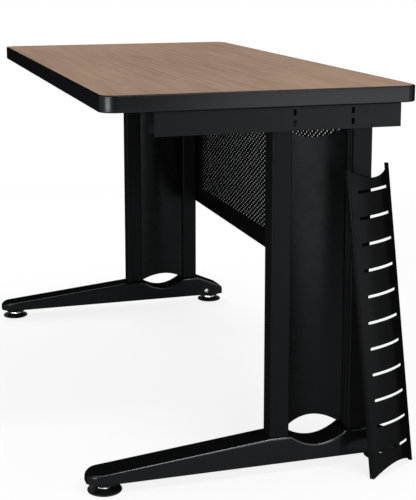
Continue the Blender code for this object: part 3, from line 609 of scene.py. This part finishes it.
def build_edge_band():
    """Edge band with eased outer edges and the spine that holds it in the board."""
    low, high = BAND_LOW.z, BAND_HIGH.z
    middle = (low + high) / 2
    spine = SPINE_THICK / 2
    profile = [(-BAND_WALL, low)]
    profile += arc((-BAND_ROUND, low + BAND_ROUND), BAND_ROUND, -QUARTER, 0, BAND_STEPS)
    profile += arc((-BAND_ROUND, high - BAND_ROUND), BAND_ROUND, 0, QUARTER, BAND_STEPS)
    profile += [(-BAND_WALL, high), (-BAND_WALL, middle + spine)]
    profile += [(-BAND_WALL - SPINE_DEPTH, middle + spine)]
    profile += [(-BAND_WALL - SPINE_DEPTH, middle - spine), (-BAND_WALL, middle - spine)]
    bm = bmesh.new()
    skin(bm, [top_outline(offset, z) for offset, z in profile], ring=True)
    piece("edge_band_moulding", bm, "edge_band", "desk", "edge_band")


# Posts


def post_outline(width, depth):
    """Outline of a post: u from its inner face outward, v from its channel face into it."""
    bend = POST_CORNER
    points = arc((bend, bend), bend, 2 * QUARTER, 3 * QUARTER, POST_STEPS)
    near, far = GROOVE_INSET - GROOVE_HALF, GROOVE_INSET + GROOVE_HALF
    points += [(near, 0), (near, GROOVE_DEPTH), (far, GROOVE_DEPTH), (far, 0)]
    for i in range(FLUTES):
        centre = (FLUTE_START + FLUTE_PITCH * i, 0)
        points += arc(centre, FLUTE_RADIUS, 2 * QUARTER, 0, POST_STEPS)
    points += arc((width - bend, bend), bend, -QUARTER, 0, POST_STEPS)
    points += arc((width - bend, depth - bend), bend, 0, QUARTER, POST_STEPS)
    points += arc((bend, depth - bend), bend, QUARTER, 2 * QUARTER, POST_STEPS)
    return points


def build_posts():
    for name, side in SIDES.items():
        for end, way in ENDS.items():
            node = f"{name}_{end}_post"
            low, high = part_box(node)
            inner = low.x if side > 0 else high.x
            face = low.y if way > 0 else high.y
            outline = post_outline(high.x - low.x, high.y - low.y)
            flat = [(inner + side * u, face + way * v) for u, v in outline]
            bm = bmesh.new()
            skin(bm, [[(x, y, z) for x, y in flat] for z in (low.z, high.z)])
            made = piece(node + "_extrusion", bm, "post_extrusion", "desk", node)
            soften(made, FINE_BEVEL)


# Inner panels


def build_inner_panels():
    """Bowed panels with arched ends, their edges tucked into the posts' grooves."""
    for name, side in SIDES.items():
        node = name + "_inner_panel"
        low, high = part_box(node)
        middle = (low.y + high.y) / 2
        reach = (high.y - low.y) / 2
        flat = reach - PANEL_TUCK
        plane = high.x - PANEL_SHEET / 2 if side > 0 else low.x + PANEL_SHEET / 2
        spots = [flat * (2 * i / BOW_COLUMNS - 1) for i in range(BOW_COLUMNS + 1)]
        bm = bmesh.new()
        last = None
        for a in [-reach] + spots + [reach]:
            share = 1 - (min(abs(a), flat) / flat) ** 2
            x = plane - side * SHEET_BOW * share
            cut = END_ARC * share
            row = [bm.verts.new((x, middle + a, z)) for z in (low.z + cut, high.z - cut)]
            if last:
                bm.faces.new((last[0], row[0], row[1], last[1]))
            last = row
        made = piece(name + "_bowed_panel", bm, "inner_panel", "desk", node)
        thicken(made, PANEL_SHEET)
        soften(made, FINE_BEVEL)


# Cable covers


def cover_axes(node, side):
    """Corner and width, outward and length directions of a cover, measured on its CAD node."""
    points = np.unique(np.round([tuple(v.co) for v in NODES[node].data.vertices], 6), axis=0)
    length, width, outward = np.linalg.svd(points - points.mean(axis=0), full_matrices=False)[2]
    turns = np.linspace(-LEAN_SCAN, LEAN_SCAN, LEAN_TRIES)
    tries = np.cos(turns)[:, None] * outward + np.sin(turns)[:, None] * length
    outward = tries[np.ptp(points @ tries.T, axis=0).argmin()]
    outward = outward * np.sign(outward[0] * side)
    length = np.cross(width, outward)
    length = length * np.sign(length[2])
    across, out, along = points @ width, points @ outward, points @ length
    middle = (across.min() + across.max()) / 2
    start = width * middle + outward * (out.min() - COVER_SHEET / 2) + length * along.min()
    sizes = (np.ptp(across), np.ptp(along))
    return Vector(start), Vector(width), Vector(outward), Vector(length), sizes


def slot_half_height(a):
    """Half height of a round-ended slot at a distance a from its middle."""
    radius = COVER_SLOT_HEIGHT / 2
    over = abs(a) - (COVER_SLOT_LENGTH / 2 - radius)
    if over <= 0:
        return radius
    return math.sqrt(max(0.0, radius**2 - over**2))


def cover_columns(half):
    """Places across a cover as (a, out): a bend, the bow, closer at the slots' ends, and a bend."""
    lean = math.atan(2 * SHEET_BOW / half)
    end = half - COVER_BEND + COVER_BEND * math.sin(lean)
    radius = COVER_SLOT_HEIGHT / 2
    straight = COVER_SLOT_LENGTH / 2 - radius
    spots = [straight * (2 * i / BOW_COLUMNS - 1) for i in range(BOW_COLUMNS + 1)]
    rest = end - straight - radius
    beyond = []
    for i in range(1, SLOT_END_STEPS + 1):
        beyond.append(straight + radius * math.sin(QUARTER * i / SLOT_END_STEPS))
    for i in range(1, COVER_SIDE_COLUMNS + 1):
        beyond.append(straight + radius + rest * i / COVER_SIDE_COLUMNS)
    spots += beyond + [-a for a in beyond]
    lip = COVER_LIP - COVER_SHEET / 2
    bow = [(a, lip + SHEET_BOW * (1 - (a / half) ** 2)) for a in sorted(spots)]
    centre = (half - COVER_BEND, bow[-1][1] - COVER_BEND * math.cos(lean))
    bend = arc(centre, COVER_BEND, QUARTER - lean, 0, COVER_BEND_STEPS)[1:]
    return [(-a, out) for a, out in reversed(bend)] + bow + bend


def build_cover(node, body, side, stud_heights):
    """Bowed cover with round-ended slots, arched ends and lips notched for the studs."""
    start, width, outward, length, (across, along) = cover_axes(node, side)
    half = (across - COVER_SHEET) / 2
    columns = cover_columns(half)
    first = along / 2 + COVER_SLOT_RISE - COVER_SLOT_PITCH * (COVER_SLOTS - 1) / 2
    middles = [first + COVER_SLOT_PITCH * i for i in range(COVER_SLOTS)]
    bm = bmesh.new()

    def point(a, out, height):
        return bm.verts.new(start + width * a + outward * out + length * height)

    grid = []
    for a, out in columns:
        cut = END_ARC * (1 - (a / half) ** 2)
        gap = slot_half_height(a)
        heights = [cut] + [m + part * gap for m in middles for part in (-1, 1)] + [along - cut]
        grid.append([point(a, out, height) for height in heights])
    for left, right in zip(grid, grid[1:]):
        for r in range(0, len(left), 2):
            bm.faces.new((left[r], right[r], right[r + 1], left[r + 1]))
    bmesh.ops.remove_doubles(bm, verts=bm.verts[:], dist=WELD / 10)
    for a in (-half, half):
        build_lip(bm, a, point, start, width, length, along, stud_heights)
    made = piece(node + "_moulding", bm, "cable_cover", body, node)
    thicken(made, COVER_SHEET)
    soften(made, COVER_BEVEL)


def build_lip(bm, a, point, start, width, length, along, stud_heights):
    """Flat lip between the cover's side line and a back edge with half-round notches."""
    side_line = [vert for vert in bm.verts if abs((vert.co - start).dot(width) - a) < WELD]
    side_line.sort(key=lambda vert: (vert.co - start).dot(length))
    back = COVER_SHEET / 2
    reach = math.acos((back - NOTCH_OUT) / NOTCH_RADIUS)
    outline = [(back, 0.0)]
    for height in stud_heights:
        outline += arc((NOTCH_OUT, height), NOTCH_RADIUS, -reach, reach, NOTCH_STEPS)
    outline.append((back, along))
    back_line = [point(a, out, height) for out, height in outline]
    loop = side_line + back_line[::-1]
    edges = []
    for i, vert in enumerate(loop):
        after = loop[(i + 1) % len(loop)]
        edges.append(bm.edges.get((vert, after)) or bm.edges.new((vert, after)))
    bmesh.ops.triangle_fill(bm, edges=edges, use_beauty=True, use_dissolve=False)


def build_covers():
    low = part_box("left_inner_panel")[0].z
    heights = []
    for number in STUD_NUMBERS:
        stud_low, stud_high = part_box(f"left_back_post_stud_{number}")
        heights.append((stud_low.z + stud_high.z) / 2 - low)
    for name, side in SIDES.items():
        build_cover(name + "_cable_cover", name + "_cover", side, sorted(heights))


# Levelling glides


def build_glides():
    for name in SIDES:
        for end in ENDS:
            label = f"{name}_{end}_glide"
            low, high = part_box(label + "_pad")
            centre = (low + high) / 2

            def place(a, b, height):
                return (centre.x + a, centre.y + b, height)

            bm = bmesh.new()
            skin(bm, lathe(PAD_PROFILE, ROUND_SIDES, place))
            piece(label + "_foot_pad", bm, "glide_pad", label, label + "_pad")
            bm = bmesh.new()
            skin(bm, stem_sections(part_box(label + "_stem")[1].z, place))
            piece(label + "_hex_stem", bm, "zinc_steel", label, label + "_stem")


def stem_sections(top, place):
    """Hexagonal collar and a threaded stem above it."""
    cut = COLLAR_CHAMFER
    neck = COLLAR_CORNER - COLLAR_TAPER
    rings = (
        (COLLAR_CORNER, COLLAR_CORNER - cut, COLLAR_LOW),
        (COLLAR_CORNER, COLLAR_CORNER - cut / 2, COLLAR_LOW + cut),
        (neck, neck - cut / 2, COLLAR_HIGH - cut),
        (neck, neck - cut * 2, COLLAR_HIGH),
    )
    sections = []
    for corner, limit, height in rings:
        flat = hex_section(corner, limit, ROUND_SIDES)
        sections.append([place(a, b, height) for a, b in flat])
    profile = [(STEM_RADIUS - THREAD_DEPTH, COLLAR_HIGH)]
    height = COLLAR_HIGH + THREAD_PITCH / 2
    while height + THREAD_PITCH < top:
        profile += [(STEM_RADIUS, height), (STEM_RADIUS - THREAD_DEPTH, height + THREAD_PITCH / 2)]
        height += THREAD_PITCH
    profile.append((STEM_RADIUS / 2, top))
    return sections + lathe(profile, ROUND_SIDES, place)


# Fasteners


def head_sections(radius, socket, place):
    """Sections of a domed head with a hexagonal socket, from its socket's floor to its underside."""
    sections = []
    for level in (HEAD_HEIGHT * SOCKET_FLOOR, HEAD_HEIGHT):
        flat = hex_section(socket, socket, HEAD_SIDES)
        sections.append([place(a, b, level) for a, b in flat])
    dome = [(socket * SOCKET_RIM, HEAD_HEIGHT)]
    dome += [(radius * across, HEAD_HEIGHT * up) for across, up in HEAD_DOME]
    return sections + lathe(dome, HEAD_SIDES, place)


def build_heel_bolts():
    """Bolts across the heels, with a socket head on each flank."""
    for name in SIDES:
        node = name + "_heel_bolt"
        low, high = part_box(node)
        centre = (low + high) / 2
        radius = (high.z - low.z) / 2
        bm = bmesh.new()
        for way, end in ((1, high.x), (-1, low.x)):

            def place(a, b, height):
                return (end + way * (height - HEAD_HEIGHT), centre.y + a, centre.z + b)

            shank = lathe([(radius * BOLT_SHANK_SHARE, -BOLT_SHANK)], HEAD_SIDES, place)
            skin(bm, head_sections(radius, radius * BOLT_SOCKET, place) + shank)
        piece(name + "_socket_bolt", bm, "zinc_steel", "desk", node)


def build_studs():
    """Domed snap studs on the channel faces, in blackened steel."""
    rise = STUD_PROFILE[-1][1]
    for name in SIDES:
        for end, way in ENDS.items():
            for number in STUD_NUMBERS:
                node = f"{name}_{end}_post_stud_{number}"
                low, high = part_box(node)
                centre = (low + high) / 2
                tip = low.y if way > 0 else high.y

                def place(a, b, height):
                    return (centre.x + a, tip + way * (rise - height), centre.z + b)

                bm = bmesh.new()
                skin(bm, lathe(STUD_PROFILE, HEAD_SIDES, place))
                piece(node + "_dome", bm, "zinc_steel", "desk", node, look="dark_steel")


def build_modesty_screws():
    """Socket screws that hold the modesty panel to the posts."""
    for name in SIDES:
        for number in SCREW_NUMBERS:
            node = f"{name}_modesty_screw_{number}"
            low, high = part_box(node)
            centre = (low + high) / 2
            radius = (high.z - low.z) / 2

            def place(a, b, height):
                return (centre.x + a, high.y + height - HEAD_HEIGHT, centre.z + b)

            shank = lathe([(SCREW_RADIUS, 0.0), (SCREW_RADIUS, -SCREW_SHANK)], HEAD_SIDES, place)
            bm = bmesh.new()
            skin(bm, head_sections(radius, radius * SCREW_SOCKET, place) + shank)
            piece(node + "_socket", bm, "zinc_steel", "desk", node, look="dark_steel")


# Perforated modesty panel


def hole_centres(low, high):
    """Centres of staggered holes, in upright columns, inside a field of X and Z."""
    step = HOLE_PITCH * math.sqrt(3) / 2
    across = int((high[0] - low[0] - HOLE_PITCH) / step) + 1
    down = int((high[1] - low[1] - HOLE_PITCH * 1.5) / HOLE_PITCH) + 1
    middle = ((low[0] + high[0]) / 2, (low[1] + high[1]) / 2)
    for c in range(across):
        x = middle[0] + (c - (across - 1) / 2) * step
        shift = HOLE_PITCH / 4 * (1 if c % 2 else -1)
        for r in range(down):
            yield x, middle[1] + (r - (down - 1) / 2) * HOLE_PITCH + shift


def build_modesty_panel():
    """Folded sheet with staggered round holes, each hole inside a six-sided cell."""
    low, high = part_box("modesty_panel")
    front, tail = low.y, high.y
    bm = bmesh.new()
    shared = {}

    def corner(x, z):
        key = (round(x, 5), round(z, 5))
        if key not in shared:
            shared[key] = bm.verts.new((x, front, z))
        return shared[key]

    turns = [2 * math.pi * i / HOLE_SIDES for i in range(HOLE_SIDES)]
    reach = [HOLE_PITCH / math.sqrt(3) if i % 2 == 0 else HOLE_PITCH / 2 for i in range(HOLE_SIDES)]
    field_low = (low.x + HOLE_BORDER_END, low.z + HOLE_BORDER_LOW)
    field_high = (high.x - HOLE_BORDER_END, high.z - HOLE_BORDER_HIGH)
    for x, z in hole_centres(field_low, field_high):
        outer = [corner(x + r * math.cos(t), z + r * math.sin(t)) for r, t in zip(reach, turns)]
        rim = [(x + HOLE_RADIUS * math.cos(t), front, z + HOLE_RADIUS * math.sin(t)) for t in turns]
        inner = [bm.verts.new(spot) for spot in rim]
        for i in range(HOLE_SIDES):
            j = (i + 1) % HOLE_SIDES
            bm.faces.new((inner[i], inner[j], outer[j], outer[i]))
    ring = set(shared.values())
    rims = [edge for edge in bm.edges if len(edge.link_faces) == 1]
    edges = [edge for edge in rims if ring.issuperset(edge.verts)]
    flat = (low.z + SHEET_BEND, high.z - SHEET_BEND)
    corners = ((low.x, flat[0]), (high.x, flat[0]), (high.x, flat[1]), (low.x, flat[1]))
    border = [bm.verts.new((x, front, z)) for x, z in corners]
    edges += [bm.edges.new((border[i], border[(i + 1) % 4])) for i in range(4)]
    bmesh.ops.triangle_fill(bm, edges=edges, use_beauty=True, use_dissolve=False)
    folds = (((border[0], border[1]), low.z, 1), ((border[3], border[2]), high.z, -1))
    for ends, edge_z, way in folds:
        centre = (front + SHEET_BEND, edge_z + way * SHEET_BEND)
        fold = arc(centre, SHEET_BEND, math.pi, math.pi + way * QUARTER, BEND_STEPS)[1:]
        last = ends
        for y, z in fold + [(tail, edge_z)]:
            cut = FOLD_MITRE if y == tail else 0.0
            row = (bm.verts.new((low.x + cut, y, z)), bm.verts.new((high.x - cut, y, z)))
            bm.faces.new((last[0], last[1], row[1], row[0]))
            last = row
    made = piece("perforated_modesty_panel", bm, "perforated_steel", "desk", "modesty_panel")
    facing = sum(p.normal.y * p.area for p in made.data.polygons)
    thicken(made, SHEET, -1 if facing < 0 else 1)


# Frame nodes that stay


def dress_frame():
    kinds = (
        ("top_laminate", "walnut_laminate"),
        ("top_core", "particle_board"),
        ("backer_sheet", "backer_paper"),
        ("_top_arm", "arm_steel"),
        ("_foot", "foot_casting"),
        ("_glide_insert", "brass_insert"),
        ("_tie_rod", "zinc_steel"),
        ("_arm_screw", "zinc_steel"),
    )
    for node in NODES:
        for ending, slot in kinds:
            if node.endswith(ending):
                dress_cad(node, slot)


# Stage, light and camera


def background_rays(tree, glossy=1.0):
    """1 for camera and transmission rays, which see the background, and a share for glossy rays."""
    path = add_node(tree, "ShaderNodeLightPath")
    mirrored = combine(tree, "MULTIPLY", path.outputs["Is Glossy Ray"], glossy)
    seen = combine(tree, "MAXIMUM", path.outputs["Is Camera Ray"], mirrored)
    return combine(tree, "MAXIMUM", seen, path.outputs["Is Transmission Ray"])


def build_floor():
    bm = bmesh.new()
    bmesh.ops.create_grid(bm, x_segments=FLOOR_STEPS, y_segments=FLOOR_STEPS, size=FLOOR_HALF)
    mesh = bpy.data.meshes.new("floor")
    bm.to_mesh(mesh)
    bm.free()
    made = bpy.data.materials.new("floor_paper")
    made.use_nodes = True
    tree = made.node_tree
    tree.nodes.clear()
    coords = place_coords(tree)
    away = add_node(tree, "ShaderNodeVectorMath", {"operation": "LENGTH"}, Vector=coords)
    fibre = noise(tree, coords, scale=PAPER_FIBRE, detail=3.0)
    tone = mix_colour(tree, fibre, *(grey(level) for level in PAPER_TONES))
    paper = add_node(tree, "ShaderNodeBsdfDiffuse", Color=tone)
    glow = add_node(tree, "ShaderNodeEmission", Strength=1.0)
    near = 1 - SHADOW_SHARE
    seen = spread(tree, away.outputs["Value"], FLOOR_WHITE_NEAR, FLOOR_WHITE_FAR, near, 1.0)
    mixed = add_node(tree, "ShaderNodeMixShader")
    shade = spread(tree, away.outputs["Value"], SHADE_NEAR, SHADE_FAR, GLOSSY_SHADE, GLOSSY_WHITE)
    tree.links.new(combine(tree, "MULTIPLY", seen, background_rays(tree, shade)), mixed.inputs[0])
    tree.links.new(paper.outputs[0], mixed.inputs[1])
    tree.links.new(glow.outputs[0], mixed.inputs[2])
    end = add_node(tree, "ShaderNodeOutputMaterial")
    tree.links.new(mixed.outputs[0], end.inputs["Surface"])
    mesh.materials.append(made)
    floor = bpy.data.objects.new("floor", mesh)
    bpy.context.scene.collection.objects.link(floor)


def build_card():
    """Black card beside the camera, for mirrored rays only, so that faces turned to it stay dark."""
    across = Vector((-math.sin(CARD_TURN), math.cos(CARD_TURN))) * CARD_HALF
    bm = bmesh.new()
    corners = ((-1, 0.0), (1, 0.0), (1, CARD_TOP), (-1, CARD_TOP))
    for sign, height in corners:
        bm.verts.new((*(Vector(CARD_PLACE) + sign * across), height))
    bm.faces.new(bm.verts[:])
    mesh = bpy.data.meshes.new("dark_card")
    bm.to_mesh(mesh)
    bm.free()
    mesh.materials.append(LOOKS["backer_paper"])
    card = bpy.data.objects.new("dark_card", mesh)
    for ray in ("camera", "diffuse", "transmission", "shadow"):
        setattr(card, "visible_" + ray, False)
    bpy.context.scene.collection.objects.link(card)


def build_world():
    world = bpy.data.worlds.new("studio")
    world.use_nodes = True
    tree = world.node_tree
    tree.nodes.clear()
    white = add_node(tree, "ShaderNodeBackground", Color=(1, 1, 1, 1), Strength=1.0)
    soft = add_node(tree, "ShaderNodeBackground", Color=(1, 1, 1, 1), Strength=AMBIENT)
    mixed = add_node(tree, "ShaderNodeMixShader")
    tree.links.new(background_rays(tree), mixed.inputs[0])
    tree.links.new(soft.outputs[0], mixed.inputs[1])
    tree.links.new(white.outputs[0], mixed.inputs[2])
    end = add_node(tree, "ShaderNodeOutputWorld")
    tree.links.new(mixed.outputs[0], end.inputs["Surface"])
    bpy.context.scene.world = world


def area_light(name, place, target, size, power):
    lamp = bpy.data.lights.new(name, "AREA")
    lamp.shape = "RECTANGLE"
    lamp.size, lamp.size_y = size
    lamp.energy = power
    made = bpy.data.objects.new(name, lamp)
    made.location = place
    made.rotation_euler = (Vector(target) - Vector(place)).to_track_quat("-Z", "Y").to_euler()
    made.visible_camera = False
    bpy.context.scene.collection.objects.link(made)


def build_lights():
    for lamp in LAMPS:
        area_light(*lamp)


def build_camera():
    lens = bpy.data.cameras.new("camera")
    lens.lens = CAMERA_LENS
    lens.sensor_width = CAMERA_SENSOR
    lens.shift_y = CAMERA_SHIFT_Y
    made = bpy.data.objects.new("camera", lens)
    level = math.cos(CAMERA_PITCH)
    back = Vector((
        math.sin(CAMERA_AZIMUTH) * level,
        -math.cos(CAMERA_AZIMUTH) * level,
        math.sin(CAMERA_PITCH),
    ))
    made.location = Vector(CAMERA_OFFSET) + Vector((DESK_MID.x, DESK_MID.y, 0))
    made.rotation_euler = (-back).to_track_quat("-Z", "Y").to_euler()
    bpy.context.scene.collection.objects.link(made)
    bpy.context.scene.camera = made


build_camera()
build_world()
build_lights()
build_floor()
build_card()
build_edge_band()
build_posts()
build_inner_panels()
build_covers()
build_glides()
build_heel_bolts()
build_studs()
build_modesty_screws()
build_modesty_panel()
dress_frame()
bpy.context.scene.view_settings.view_transform = "Standard"
